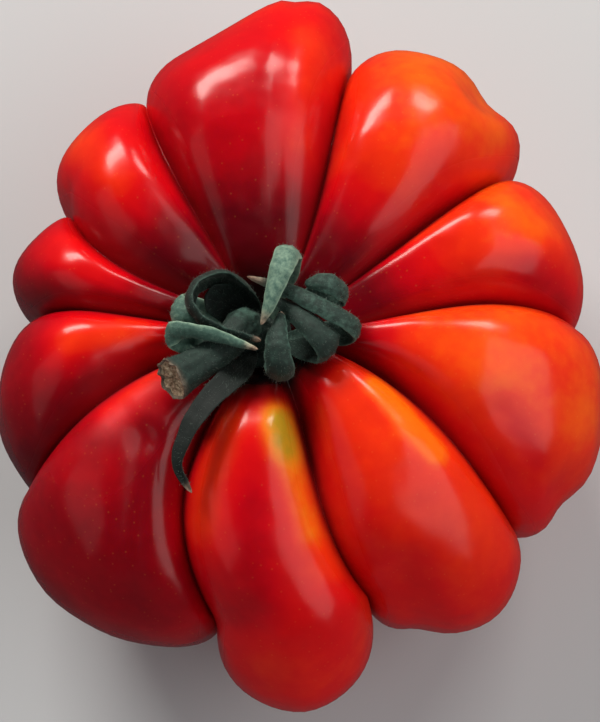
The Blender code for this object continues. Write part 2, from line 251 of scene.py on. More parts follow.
def upper_share(turn):
    """1 on the skin that shows from above, fading to 0 at the feet."""
    return clamp((FOOT_TURN - turn) / FOOT_FADE)


def skin_point(index, across, turn):
    """A point of the skin in mm, and how deep in a crease it is."""
    lobe = LOBES[index]
    after = LOBES[(index + 1) % len(LOBES)]
    full_turn = 360.0 if index == len(LOBES) - 1 else 0.0
    share = (across + 1) / 2
    crease = along_profile(crease_profile(lobe), turn, 1.0)
    crease = crease.lerp(along_profile(crease_profile(after), turn, 1.0), share)
    crown = along_profile(crown_profile(lobe, share), turn, lobe.slope)
    down = ease(turn - SHOULDER_TURN)
    leaning = across - lobe.lean * (1 - LEAN_LOSS * down) * (1 - across * across)
    flat = lobe.crown + (lobe.flat - lobe.crown) * down
    power = CREST_ARCH + (BELLY_ARCH - CREST_ARCH) * down
    rounding = CREASE_ROUND * (1 - down) + LEAST_ROUND
    rise = math.hypot(max(0.0, 1 - abs(leaning) ** flat), rounding) - rounding
    arch = (rise / (math.hypot(1, rounding) - rounding)) ** power
    profile = crease.lerp(crown, arch)

    first = lobe.crease + crease_swing(lobe, profile.x, turn)
    last = after.crease + full_turn + crease_swing(after, profile.x, turn)
    direction = first + (last - first) * share
    place = polar(direction, profile.x)
    outwards = crown - crease
    if outwards.length > 0.001 and 0 < turn < 4:
        wave = noise.noise(Vector((*place, profile.y)) * MM * WAVE_RATE)
        push = WAVE_HEIGHT * wave - nearness(place, FOLDS) * upper_share(turn)
        profile += outwards.normalized() * push * arch
        place = polar(direction, profile.x)
    furrow = (1 - arch) * (1 - FURROW_LOSS * ease((turn - SHOULDER_TURN) / FURROW_FADE))
    return Vector((*place, max(profile.y, 0.0))), furrow


def lobe_tone(lobe, turn):
    """Skin tone along the middle of a lobe, from the stem over the crest to the foot."""
    # What the tone goes over to, from which turn to which, and how far.
    tone = lobe.inner
    for aim, start, end, share in (
        (lobe.top, 0.15, 1.0, 1.0),
        (lobe.belly, 1.0, 1.9, 1.0),
        (FOOT_TONE, 2.0, 3.1, FOOT_TONE_SHARE),
    ):
        tone += (aim - tone) * share * ease((turn - start) / (end - start))
    return tone


def skin_tone(index, across, turn, place):
    """Tone at a place: its lobe's own, blended, patched and darkened by painted shade."""
    lobe = LOBES[index]
    beside = LOBES[index - 1] if across < 0 else LOBES[(index + 1) % len(LOBES)]
    tone = lobe_tone(lobe, turn)
    blend = BLEND_SHARE * clamp((abs(across) - BLEND_START) / (1 - BLEND_START))
    tone += (lobe_tone(beside, turn) - tone) * blend
    tone += nearness(place, TONE_PATCHES) * upper_share(turn)
    # Painted shade on the slopes near the stem and on the flanks that face away from the light.
    start = lobe.crest * INNER_SHADE_START
    near_stem = ease((start - place.length) / (start * INNER_SHADE_WIDTH)) * clamp(2 - turn)
    facing_away = clamp(-across * place.x / place.length) * upper_share(turn)
    return tone - INNER_SHADE * near_stem - FLANK_SHADE * facing_away


def paint(mesh, name, values):
    """Store one number per vertex for a material to read."""
    layer = mesh.attributes.new(name, "FLOAT", "POINT")
    layer.data.foreach_set("value", values)


def ring_and_angle(vertex, rings):
    """Which ring of a new sphere a vertex is on, from the top, and its angle round it."""
    ring = round(math.acos(max(-1.0, min(1.0, vertex.co.z))) / math.pi * rings)
    return ring, math.atan2(vertex.co.y, vertex.co.x)


turns = []
for quarter, rows in enumerate(SKIN_ROWS):
    turns.extend(quarter + step / rows for step in range(rows))
turns.append(4.0)
skin_columns = LOBE_COLUMNS * len(LOBES)
skin_rings = len(turns) + 1

bpy.ops.mesh.primitive_uv_sphere_add(segments=skin_columns, ring_count=skin_rings, radius=1.0)
fruit = bpy.context.object
fruit.name = "ribbed_skin"
skin_marks = {
    "furrow": [], "tone": [], "greenness": [], "scar": [], "dullness": [], "calyx_shade": [],
}
for vertex in fruit.data.vertices:
    ring, angle = ring_and_angle(vertex, skin_rings)
    marks = dict.fromkeys(skin_marks, 0.0)
    if ring in (0, skin_rings):
        point = Vector((0, 0, PIT_LEVEL if ring == 0 else SCAR_LEVEL))
        marks.update(furrow=POLE_FURROW, tone=POLE_TONE)
    else:
        column = round(angle / math.tau * skin_columns) % skin_columns
        index, step = divmod(column, LOBE_COLUMNS)
        across = math.sin((step / LOBE_COLUMNS - 0.5) * math.pi)
        turn = turns[ring - 1]
        point, marks["furrow"] = skin_point(index, across, turn)
        marks["tone"] = skin_tone(index, across, turn, point.xy)
        marks["greenness"] = nearness(point.xy, GREEN_PATCHES) * upper_share(turn)
        marks["dullness"] = nearness(point.xy, DULL_PATCHES) * upper_share(turn)
    if point.z < BELLY_LEVEL:
        marks["scar"] = clamp((SCAR_RING[0] - point.xy.length) / SCAR_RING[1])
    else:
        # Painted shade: the skin under the calyx turns near black.
        marks["calyx_shade"] = clamp((CALYX_SHADE_RING[0] - point.xy.length) / CALYX_SHADE_RING[1])
    for name, value in marks.items():
        skin_marks[name].append(value)
    vertex.co = point * MM

fruit_low, fruit_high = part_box("fruit")
made_low = Vector([min(v.co[axis] for v in fruit.data.vertices) for axis in range(3)])
made_high = Vector([max(v.co[axis] for v in fruit.data.vertices) for axis in range(3)])
stem_axis = (Vector(fruit_low) + Vector(fruit_high) - made_low - made_high) / 2
stem_axis.z = 0.0
for vertex in fruit.data.vertices:
    vertex.co += stem_axis
for name, values in skin_marks.items():
    paint(fruit.data, name, values)
bpy.ops.object.shade_smooth()


def linear(hex_colour):
    """An sRGB hex colour as the linear RGBA that shaders take."""
    channels = []
    for start in (1, 3, 5):
        value = int(hex_colour[start:start + 2], 16) / 255
        channels.append(value / 12.92 if value <= 0.04045 else ((value + 0.055) / 1.055) ** 2.4)
    return (*channels, 1.0)


def add_node(tree, kind, settings=None, links=None):
    """Add a node; settings are its properties or unlinked inputs, links feed its inputs."""
    node = tree.nodes.new(kind)
    for key, value in (settings or {}).items():
        if isinstance(key, str) and hasattr(node, key):
            setattr(node, key, value)
        else:
            node.inputs[key].default_value = value
    for key, socket in (links or {}).items():
        tree.links.new(socket, node.inputs[key])
    return node


def set_ramp(node, stops):
    """Give a colour ramp its stops, as (position, hex colour)."""
    ramp = node.color_ramp
    while len(ramp.elements) < len(stops):
        ramp.elements.new(0.5)
    for element, (position, colour) in zip(ramp.elements, stops):
        element.position = position
        element.color = linear(colour)


def new_material(name):
    material = bpy.data.materials.new(name)
    material.use_nodes = True
    tree = material.node_tree
    return material, tree, tree.nodes["Principled BSDF"]


def pattern_scale(size):
    """Scale of a noise whose cells are this many mm wide."""
    return 1 / (size * MM)


# A colour mix's numbered sockets: the share, the colour below, the one on top, the result.
# A math node's are 0, 1 and 2, and multiply-add gives 0 x 1 + 2.
MIX_SHARE, MIX_UNDER, MIX_OVER = 0, 6, 7
MIXED = 2


def skin_colour(tree, here, marks, crease_amount):
    """Clouded flesh, green patch, flecks, scars, and painted shade in creases and at the stem."""
    clouds = add_node(
        tree, "ShaderNodeTexNoise", {"Scale": pattern_scale(12.5), "Detail": 3.0},
        {"Vector": here},
    )
    mottle = add_node(
        tree, "ShaderNodeTexNoise", {"Scale": pattern_scale(1.923), "Detail": 4.0},
        {"Vector": here},
    )
    cloud_shift = add_node(
        tree, "ShaderNodeMath", {"operation": "MULTIPLY_ADD", 1: 0.34, 2: -0.17},
        {0: clouds.outputs["Fac"]},
    )
    mottle_shift = add_node(
        tree, "ShaderNodeMath", {"operation": "MULTIPLY_ADD", 1: 0.12, 2: -0.06},
        {0: mottle.outputs["Fac"]},
    )
    clouded = add_node(
        tree, "ShaderNodeMath", {"operation": "ADD"},
        {0: marks["tone"], 1: cloud_shift.outputs[0]},
    )
    mottled = add_node(
        tree, "ShaderNodeMath", {"operation": "ADD"},
        {0: clouded.outputs[0], 1: mottle_shift.outputs[0]},
    )
    flesh = add_node(tree, "ShaderNodeValToRGB", {}, {"Fac": mottled.outputs[0]})
    set_ramp(flesh, (
        (0.0, "#6C000E"), (0.2, "#92000F"), (0.4, "#BE0010"), (0.6, "#D40A0C"),
        (0.8, "#E8300C"), (1.0, "#F4680A"),
    ))

    # The patch that ripened last is gold outside and olive green within.
    patchy = add_node(
        tree, "ShaderNodeMath", {"operation": "MULTIPLY_ADD", 1: 3.2},
        {0: mottle_shift.outputs[0], 2: marks["greenness"]},
    )
    unripe = add_node(tree, "ShaderNodeValToRGB", {}, {"Fac": patchy.outputs[0]})
    set_ramp(unripe, ((0.10, "#E85008"), (0.48, "#E8901A"), (0.90, "#A08A1C")))
    unripe_amount = add_node(
        tree, "ShaderNodeMapRange",
        {"interpolation_type": "SMOOTHSTEP", "From Min": 0.05, "From Max": 0.85, "To Max": 0.9},
        {"Value": marks["greenness"]},
    )
    with_green = add_node(
        tree, "ShaderNodeMix", {"data_type": "RGBA"},
        {
            MIX_SHARE: unripe_amount.outputs["Result"],
            MIX_UNDER: flesh.outputs["Color"],
            MIX_OVER: unripe.outputs["Color"],
        },
    )

    # Painted shade: deep in the creases the colour is mixed towards a darker, purer red.
    with_crease_shade = add_node(
        tree, "ShaderNodeMix", {"data_type": "RGBA", MIX_OVER: linear("#98000F")},
        {MIX_SHARE: crease_amount, MIX_UNDER: with_green.outputs[MIXED]},
    )

    # Tiny pale flecks under the cuticle, 0.15 mm wide and about 1.2 mm apart.
    flecks = add_node(
        tree, "ShaderNodeTexVoronoi", {"Scale": pattern_scale(1.22)}, {"Vector": here}
    )
    fleck_amount = add_node(
        tree, "ShaderNodeMapRange", {"From Min": 0.16, "From Max": 0.04, "To Max": 0.10},
        {"Value": flecks.outputs["Distance"]},
    )
    with_flecks = add_node(
        tree, "ShaderNodeMix", {"data_type": "RGBA", MIX_OVER: linear("#F0A050")},
        {MIX_SHARE: fleck_amount.outputs["Result"], MIX_UNDER: with_crease_shade.outputs[MIXED]},
    )

    # Painted shade round the stem, where the calyx shades the skin, and the corky scar that the
    # flower left.
    with_calyx_shade = add_node(
        tree, "ShaderNodeMix", {"data_type": "RGBA", MIX_OVER: linear("#240A0A")},
        {MIX_SHARE: marks["calyx_shade"], MIX_UNDER: with_flecks.outputs[MIXED]},
    )
    with_scar = add_node(
        tree, "ShaderNodeMix", {"data_type": "RGBA", MIX_OVER: linear("#8A5A34")},
        {MIX_SHARE: marks["scar"], MIX_UNDER: with_calyx_shade.outputs[MIXED]},
    )
    return with_scar.outputs[MIXED]


def ripe_skin_material():
    """Tomato cuticle: a clear waxy film over pigmented flesh, so it gleams and glows."""
    material, tree, shader = new_material("waxy_tomato_skin")
    here = add_node(tree, "ShaderNodeTexCoord").outputs["Object"]
    marks = {
        name: add_node(tree, "ShaderNodeAttribute", {"attribute_name": name}).outputs["Fac"]
        for name in skin_marks
    }
    # How deep in a crease: it sets the painted crease shade and the duller gloss there.
    crease_amount = add_node(
        tree, "ShaderNodeMapRange",
        {"interpolation_type": "SMOOTHSTEP", "From Min": 0.22, "From Max": 0.95, "To Max": 0.9},
        {"Value": marks["furrow"]},
    ).outputs["Result"]
    colour = skin_colour(tree, here, marks, crease_amount)

    # Cork, rubbed wax and the creases gleam less than the taut skin, and rubbed wax has no film.
    corky = add_node(
        tree, "ShaderNodeMath", {"operation": "MULTIPLY_ADD", 1: 0.45, 2: 0.27},
        {0: marks["scar"]},
    )
    rubbed = add_node(
        tree, "ShaderNodeMath", {"operation": "MULTIPLY_ADD", 1: 0.30},
        {0: marks["dullness"], 2: corky.outputs[0]},
    )
    roughness = add_node(
        tree, "ShaderNodeMath", {"operation": "MULTIPLY_ADD", 1: 0.40},
        {0: crease_amount, 2: rubbed.outputs[0]},
    )
    film = add_node(
        tree, "ShaderNodeMapRange", {"To Min": 0.35, "To Max": 0.0},
        {"Value": marks["dullness"]},
    )

    # Skin stretched over flesh is never quite smooth: swells of 5 mm and dimples of 0.7 mm.
    swells = add_node(
        tree, "ShaderNodeTexNoise", {"Scale": pattern_scale(5.26), "Detail": 1.0},
        {"Vector": here},
    )
    dimples = add_node(
        tree, "ShaderNodeTexNoise", {"Scale": pattern_scale(0.6667)}, {"Vector": here}
    )
    swell_bump = add_node(
        tree, "ShaderNodeBump", {"Strength": 0.9, "Distance": 0.4 * MM},
        {"Height": swells.outputs["Fac"]},
    )
    dimple_bump = add_node(
        tree, "ShaderNodeBump", {"Strength": 0.25, "Distance": 0.02 * MM},
        {"Height": dimples.outputs["Fac"], "Normal": swell_bump.outputs["Normal"]},
    )
    tree.links.new(colour, shader.inputs["Base Color"])
    tree.links.new(roughness.outputs[0], shader.inputs["Roughness"])
    tree.links.new(film.outputs["Result"], shader.inputs["Coat Weight"])
    tree.links.new(dimple_bump.outputs["Normal"], shader.inputs["Normal"])
    shader.inputs["IOR"].default_value = 1.30
    shader.inputs["Subsurface Weight"].default_value = 0.35
    shader.inputs["Subsurface Radius"].default_value = (1.0, 0.18, 0.06)
    shader.inputs["Subsurface Scale"].default_value = 2.5 * MM
    shader.inputs["Coat IOR"].default_value = 1.40
    shader.inputs["Coat Roughness"].default_value = 0.15
    return material


fruit.data.materials.append(ripe_skin_material())
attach(fruit, "root")
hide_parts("fruit")


# -------------------------------------------------------------- curled sepals
# Ten fleshy green straps that once backed the flower. They grow out of the receptacle, arch
# up and have dried back over themselves, so their downy undersides show and their tips are
# brown and brittle.

# Stations along each sepal: (x, y, z, width) in mm about the stem axis, then heading and
# tilt of its width in degrees.
SEPALS = {
    "north": (
        (0.8, 2.0, 47.6, 3.2, -26, 0), (2.8, 6.8, 52.2, 3.8, -26, 0),
        (4.2, 10.0, 57.2, 4.0, -26, 0), (4.0, 9.8, 61.4, 3.9, -25, 0),
        (2.9, 6.7, 63.5, 3.4, -24, 5), (1.8, 3.4, 63.5, 2.6, -26, 8),
        (0.9, 0.7, 62.9, 1.8, -27, 10), (0.0, -1.4, 62.1, 0.8, -28, 10),
    ),
    "north_east": (
        (1.8, 1.2, 47.6, 3.2, -55, 0), (6.2, 4.0, 52.0, 3.8, -58, 0),
        (10.2, 4.8, 55.2, 4.2, -66, 0), (12.0, 4.6, 58.3, 4.2, -72, 10),
        (10.6, 5.0, 60.6, 3.8, -78, 15), (8.2, 5.4, 60.8, 3.0, -82, 20),
        (6.2, 5.1, 60.0, 1.2, -82, 20),
    ),
    "east": (
        (2.2, -0.2, 47.6, 3.2, -94, 0), (7.4, -0.6, 53.2, 3.8, -94, 0),
        (12.2, -1.2, 55.6, 4.0, -94, 0), (13.8, -1.0, 58.8, 4.0, -84, 5),
        (12.0, 0.0, 61.0, 3.8, -70, 12), (9.0, 1.5, 61.7, 3.4, -64, 18),
        (5.4, 3.3, 61.4, 2.8, -62, 18), (1.8, 4.9, 60.9, 1.8, -66, 15),
        (-2.1, 6.0, 61.0, 0.8, -74, 10),
    ),
    "south_east": (
        (1.9, -1.2, 47.9, 3.2, -124, 0), (5.2, -2.8, 53.2, 3.8, -122, 0),
        (9.2, -4.6, 58.2, 4.6, -122, 0), (10.0, -4.4, 60.8, 4.7, -126, 5),
        (8.4, -2.6, 62.0, 4.1, -130, 12), (5.8, 0.0, 61.5, 3.3, -132, 16),
        (3.5, 1.9, 60.6, 2.3, -130, 18), (2.0, 2.9, 59.8, 0.9, -128, 18),
    ),
    "south": (
        (0.6, -2.2, 47.6, 3.2, 170, 0), (1.7, -5.8, 53.8, 3.6, 168, 0),
        (2.5, -8.2, 58.0, 4.0, 172, 0), (2.7, -7.8, 61.2, 4.1, 176, 0),
        (2.3, -5.4, 62.7, 3.8, 184, -5), (2.2, -2.9, 62.4, 3.2, 190, -10),
        (2.5, -0.8, 61.6, 2.2, 194, -14), (3.0, 0.8, 60.9, 0.9, 194, -14),
    ),
    "loop": (
        (-0.6, 2.0, 48.2, 3.2, 30, 20), (-2.0, 5.4, 53.4, 4.6, 70, 70),
        (-5.6, 7.3, 56.8, 4.8, 100, 84), (-9.2, 5.8, 58.6, 4.6, 145, 86),
        (-10.5, 2.8, 59.3, 4.4, 185, 86), (-8.9, 0.0, 59.8, 4.0, 230, 84),
        (-5.8, -1.7, 60.2, 3.2, 255, 80), (-2.6, -2.6, 60.5, 2.0, 258, 74),
        (0.0, -3.4, 60.8, 0.8, 258, 70),
    ),
    "under_loop": (
        (-0.8, 1.4, 47.9, 3.2, 48, 0), (-3.4, 3.2, 51.0, 5.4, 48, 0),
        (-6.2, 4.2, 53.8, 5.6, 56, 0), (-8.4, 4.2, 56.4, 4.0, 66, 0),
    ),
    "west": (
        (-2.1, 0.8, 47.9, 3.2, 78, 0), (-7.4, 2.0, 51.6, 4.0, 78, 0),
        (-11.4, 2.9, 54.2, 4.2, 78, 0), (-12.7, 2.4, 56.8, 4.2, 66, 10),
        (-11.2, 0.9, 58.4, 3.6, 52, 20), (-9.0, -0.4, 57.6, 2.6, 48, 20),
        (-7.0, -1.2, 56.6, 1.0, 48, 20),
    ),
    "strap": (
        (-2.1, -0.8, 47.9, 3.2, 108, 0), (-7.2, -2.2, 52.4, 3.8, 106, 0),
        (-11.7, -2.8, 56.8, 3.4, 98, 10), (-13.3, -2.4, 59.2, 3.2, 90, 30),
        (-11.6, -2.1, 60.8, 3.0, 84, 50), (-8.0, -2.6, 61.0, 2.8, 78, 60),
        (-4.0, -3.7, 61.0, 1.8, 76, 62), (-0.4, -4.7, 61.0, 0.8, 74, 60),
    ),
    "long": (
        (-1.0, -2.0, 47.6, 3.2, 150, 0), (-2.8, -6.0, 54.0, 3.8, 150, 0),
        (-5.2, -9.6, 59.2, 3.8, 142, -10), (-8.2, -13.4, 61.0, 3.4, 146, -20),
        (-10.7, -17.8, 61.0, 2.6, 160, -25), (-11.6, -21.4, 60.2, 1.5, 178, -20),
        (-9.7, -25.0, 58.6, 0.8, 210, -10),
    ),
}
# How pale each sepal is, partly its down and partly painted light and shade, and from what
# share of its length it is dried.
SEPAL_TONES = {
    "north": (0.74, 0.86), "north_east": (0.40, 0.97), "east": (0.36, 0.90),
    "south_east": (0.26, 0.96), "south": (0.30, 0.94), "loop": (0.12, 0.93),
    "under_loop": (0.05, 1.2), "west": (0.66, 0.97), "strap": (0.62, 0.90), "long": (-0.12, 0.92),
}
SEPAL_THICKNESS = 1.15
SEPAL_CROWN = 0.16
SEPAL_SIDES = 24
SEPAL_RINGS_PER_STATION = 11
# Shares lost: of the thickness towards the tip, and of thickness and width where it is dry.
TIP_THINNING = 0.35
DRY_SHRINKING = 0.5
# The root's share of the width, how fast it widens, and the rings that round off the tip.
ROOT_SHARE = 0.2
ROOT_FLARE = 4
TIP_RINGS = 3
# Ribs as (distance from the middle, half width, height in mm), on a half width of 1. The
# inner face has shallower grooves in their place.
SEPAL_RIBS = ((0.0, 0.13, 0.16), (0.52, 0.12, 0.08))
GROOVE_SHARE = 0.6
# How fast each wave changes along a sepal, from sepal to sepal and across it.
RIM_WAVES = (2.1, 7.3, 1.0)
RIM_TURNS = (1.3, 3.1, 0.7)
SWAYS = (3.0, 1.7, 0.0)
# Their sizes: a share of the width, and two in mm.
RIM_WAVE_SHARE = 0.07
RIM_TURN_HEIGHT = 0.35
SWAY_HEIGHT = 0.12
# The paler edge fades inwards by this power.
EDGE_POWER = 12
# Step to either side, in stations, that gives a curve's direction.
LOOK_AHEAD = 0.05


def smooth_between(rows, place):
    """Values on a smooth curve through rows of numbers; place counts in rows."""
    index = min(int(place), len(rows) - 2)
    part = place - index
    before = rows[max(index - 1, 0)]
    start = rows[index]
    end = rows[index + 1]
    beyond = rows[min(index + 2, len(rows) - 1)]
    values = []
    for a, b, c, d in zip(before, start, end, beyond):
        bow = (2 * a - 5 * b + 4 * c - d) * part ** 2 + (3 * b - a - 3 * c + d) * part ** 3
        values.append(b + ((c - a) * part + bow) / 2)
    return values


def along_stations(stations, place):
    """Values at a place along stations, and the direction in which they run there."""
    last = len(stations) - 1
    ahead = Vector(smooth_between(stations, min(place + LOOK_AHEAD, last))[:3])
    behind = Vector(smooth_between(stations, max(place - LOOK_AHEAD, 0))[:3])
    return smooth_between(stations, place), (ahead - behind).normalized()


def strap_frame(stations, place):
    """Middle point, width, side and facing of a sepal at a place along it."""
    (x, y, z, width, heading, tilt), forward = along_stations(stations, place)
    level = polar(heading, math.cos(math.radians(tilt)))
    side = Vector((level.x, level.y, math.sin(math.radians(tilt))))
    side = (side - forward * side.dot(forward)).normalized()
    return Vector((x, y, z)), width, side, forward.cross(side)


def wander(rates, place, seed, across):
    """A smooth random number from -1 to 1 that changes at the given rates."""
    return noise.noise(Vector((place * rates[0], seed * rates[1], across * rates[2])))


def face_outwards():
    """Turn the active piece's faces outwards and shade it smooth."""
    bpy.ops.object.mode_set(mode="EDIT")
    bpy.ops.mesh.select_all(action="SELECT")
    bpy.ops.mesh.normals_make_consistent(inside=False)
    bpy.ops.object.mode_set(mode="OBJECT")
    bpy.ops.object.shade_smooth()


def add_sepal(name, stations, seed):
    """A sphere drawn out into a strap with soft edges, three ribs and a waved rim."""
    last = len(stations) - 1
    rings = last * SEPAL_RINGS_PER_STATION
    bpy.ops.mesh.primitive_uv_sphere_add(segments=SEPAL_SIDES, ring_count=rings, radius=1.0)
    sepal = bpy.context.object
    sepal.name = "sepal_" + name
    pale, dry_from = SEPAL_TONES[name]
    marks = {"paleness": [], "dryness": [], "edge": []}
    for vertex in sepal.data.vertices:
        ring, angle = ring_and_angle(vertex, rings)
        share = ring / rings
        place = share * last
        middle, width, side, facing = strap_frame(stations, place)
        across = math.cos(angle)
        outer = -1.0 if math.sin(angle) >= 0 else 1.0
        dried = clamp((share - dry_from) / max(1.0 - dry_from, 0.01))
        rounding = min(1.0, ROOT_FLARE * share + ROOT_SHARE)
        rounding *= math.sqrt(clamp((1 - share) * rings / TIP_RINGS))
        if ring in (0, rings):
            rounding = 0.0
        thickness = SEPAL_THICKNESS * (1 - TIP_THINNING * share) * (1 - DRY_SHRINKING * dried)
        lens = thickness / 2 * (1 - abs(across) ** 3) ** 0.6
        ribs = 0.0
        for offset, spread, height in SEPAL_RIBS:
            ribs += math.exp(-(((abs(across) - offset) / spread) ** 2)) * height
        rim = wander(RIM_WAVES, place, seed, across)
        rim_turn = wander(RIM_TURNS, place, seed, across)
        half = width / 2 * (1 + RIM_WAVE_SHARE * rim) * (1 - DRY_SHRINKING * dried)
        droop = SEPAL_CROWN * width * across * across
        droop -= RIM_TURN_HEIGHT * rim_turn * abs(across) ** 3
        lift = outer * (lens + ribs * (1.0 if outer > 0 else -GROOVE_SHARE)) - droop
        middle += facing * SWAY_HEIGHT * wander(SWAYS, place, seed, across)
        vertex.co = (middle + side * across * half * rounding + facing * lift * rounding) * MM
        vertex.co += stem_axis
        marks["paleness"].append(pale)
        marks["dryness"].append(dried)
        marks["edge"].append(abs(across) ** EDGE_POWER)
    for mark, values in marks.items():
        paint(sepal.data, mark, values)
    face_outwards()
    return sepal


def downy_green_material():
    """Green leaf tissue under short grey down: matt, in tufts, paler at the edges, brown where
    dry.
    """
    material, tree, shader = new_material("downy_green_leaf")
    here = add_node(tree, "ShaderNodeTexCoord").outputs["Object"]
    marks = {
        name: add_node(tree, "ShaderNodeAttribute", {"attribute_name": name}).outputs["Fac"]
        for name in ("paleness", "dryness", "edge")
    }

    # Down lies in tufts about 0.8 mm apart.
    tufts = add_node(
        tree, "ShaderNodeTexNoise",
        {"Scale": pattern_scale(0.8333), "Detail": 4.0, "Roughness": 0.65}, {"Vector": here},
    )
    tuft_shift = add_node(
        tree, "ShaderNodeMath", {"operation": "MULTIPLY_ADD", 1: 0.7, 2: -0.35},
        {0: tufts.outputs["Fac"]},
    )
    edge_shift = add_node(
        tree, "ShaderNodeMath", {"operation": "MULTIPLY_ADD", 1: 0.30},
        {0: marks["edge"], 2: tuft_shift.outputs[0]},
    )
    # A piece's paleness, partly painted light and shade, raised at the edges and in tufts.
    tone = add_node(
        tree, "ShaderNodeMath", {"operation": "ADD"},
        {0: marks["paleness"], 1: edge_shift.outputs[0]},
    )
    leaf = add_node(tree, "ShaderNodeValToRGB", {}, {"Fac": tone.outputs[0]})
    set_ramp(leaf, ((0.0, "#0D1614"), (0.35, "#21342E"), (0.65, "#456459"), (1.0, "#88A48E")))
    husk = add_node(tree, "ShaderNodeValToRGB", {}, {"Fac": tufts.outputs["Fac"]})
    set_ramp(husk, ((0.35, "#6A4836"), (0.6, "#CDAE96")))
    leaf_and_husk = add_node(
        tree, "ShaderNodeMix", {"data_type": "RGBA"},
        {
            MIX_SHARE: marks["dryness"],
            MIX_UNDER: leaf.outputs["Color"],
            MIX_OVER: husk.outputs["Color"],
        },
    )
    bump = add_node(
        tree, "ShaderNodeBump", {"Strength": 0.6, "Distance": 0.12 * MM},
        {"Height": tufts.outputs["Fac"]},
    )
    tree.links.new(leaf_and_husk.outputs[MIXED], shader.inputs["Base Color"])
    tree.links.new(bump.outputs["Normal"], shader.inputs["Normal"])
    shader.inputs["Roughness"].default_value = 0.68
    shader.inputs["IOR"].default_value = 1.34
    shader.inputs["Sheen Weight"].default_value = 0.08
    shader.inputs["Sheen Roughness"].default_value = 0.45
    shader.inputs["Sheen Tint"].default_value = linear("#B9CBBE")
    return material


downy_green = downy_green_material()
green_pieces = []
for seed, (name, stations) in enumerate(SEPALS.items()):
    sepal = add_sepal(name, stations, seed + 1)
    sepal.data.materials.append(downy_green)
    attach(sepal, "root")
    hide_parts("calyx_and_stalk")
    green_pieces.append(sepal)


# ------------------------------------------------- cut stalk and its receptacle
# The stub of the fruit's stalk: a ribbed green stem that swells at its knee, leans over
# between two lobes and ends in a torn pale cut. It rises from the round receptacle that
# carries the sepals.

# Stations along the stalk: (x, y, z, radius) in mm about the stem axis.
STALK = (
    (-0.4, 0.2, 47.8, 2.6), (-1.3, 0.5, 50.0, 2.6), (-2.3, 0.6, 53.0, 2.5),
    (-3.2, -0.4, 55.3, 2.5), (-4.8, -2.6, 56.6, 2.4), (-7.4, -5.1, 57.8, 2.4),
    (-10.1, -7.1, 59.0, 2.6), (-12.2, -8.6, 59.9, 3.0), (-12.8, -9.0, 60.2, 3.1),
)
STALK_SIDES = 72
STALK_RINGS_PER_STATION = 14
# A direction across the stalk's lean, which keeps its rings from twisting.
STALK_ACROSS = Vector((0.5, -0.85, 0.15))
STALK_RIBS = 7
RIB_HEIGHT = 0.035
# Lumps and warts as (rate round the stalk, rate along it, share of the radius).
LUMPS = (2.2, 1.4, 0.05)
WARTS = (7.0, 5.0, 0.025)
# The knee's place and half length in stations, and its swelling.
KNEE_PLACE = 2.6
KNEE_SPREAD = 0.5
KNEE_SWELL = 0.06
# The torn end: its length in stations, its depth in mm and how often it is notched.
TORN_LENGTH = 0.7
TORN_DEPTH = 0.9
TORN_RATE = 2.6
TORN_SEED = 4.0
# The cut face: the rim's radius as a share, its depth in mm and how rough its floor is.
CUT_RIM = 0.80
CUT_DEPTH = 0.5
CUT_ROUGH = 0.6
CUT_RINGS = 8
# Paleness along the stalk and at its knee, and how dry it is over its last stations.
STALK_PALENESS = 0.25
KNEE_PALENESS = 0.35
END_DRYNESS = 0.25
END_DRY_LENGTH = 1.2
CUT_SHARPNESS = 6
CUT_SLOT = 1

last = len(STALK) - 1
body_rings = last * STALK_RINGS_PER_STATION
stalk_rings = body_rings + CUT_RINGS
bpy.ops.mesh.primitive_uv_sphere_add(segments=STALK_SIDES, ring_count=stalk_rings, radius=1.0)
stalk = bpy.context.object
stalk.name = "cut_stalk"
stalk_marks = {"paleness": [], "dryness": [], "edge": [], "cut": []}
for vertex in stalk.data.vertices:
    ring, angle = ring_and_angle(vertex, stalk_rings)
    place = min(ring, body_rings) / body_rings * last
    (x, y, z, radius), forward = along_stations(STALK, place)
    side = forward.cross(STALK_ACROSS).normalized()
    upwards = side.cross(forward)
    around = side * math.cos(angle) + upwards * math.sin(angle)
    rough = noise.noise(around * LUMPS[0] + Vector((0, 0, place * LUMPS[1])))
    fine = noise.noise(around * WARTS[0] + Vector((0, 0, place * WARTS[1])))
    ribbed = RIB_HEIGHT * math.cos(STALK_RIBS * angle)
    radius *= 1 + ribbed + LUMPS[2] * rough + WARTS[2] * fine
    knee = math.exp(-(((place - KNEE_PLACE) / KNEE_SPREAD) ** 2))
    radius *= 1 + KNEE_SWELL * knee * (1 + fine)
    torn = clamp(place - last + TORN_LENGTH) * TORN_DEPTH
    notch = Vector((math.cos(angle) * TORN_RATE, math.sin(angle) * TORN_RATE, TORN_SEED))
    reach = torn * noise.noise(notch)
    into_cut = clamp((ring - body_rings) / CUT_RINGS)
    radius *= 1 - into_cut
    hollow = CUT_DEPTH * clamp(into_cut / (1 - CUT_RIM)) * (1 + CUT_ROUGH * fine)
    reach *= 1 - into_cut
    if ring == 0:
        radius = 0.0
    centre = Vector((x, y, z)) + forward * (reach - hollow)
    vertex.co = (centre + around * radius) * MM + stem_axis
    stalk_marks["paleness"].append(STALK_PALENESS + KNEE_PALENESS * knee)
    stalk_marks["dryness"].append(END_DRYNESS * clamp(place - last + END_DRY_LENGTH))
    stalk_marks["edge"].append(0.0)
    stalk_marks["cut"].append(clamp(into_cut * CUT_SHARPNESS))
for name, values in stalk_marks.items():
    paint(stalk.data, name, values)
face_outwards()


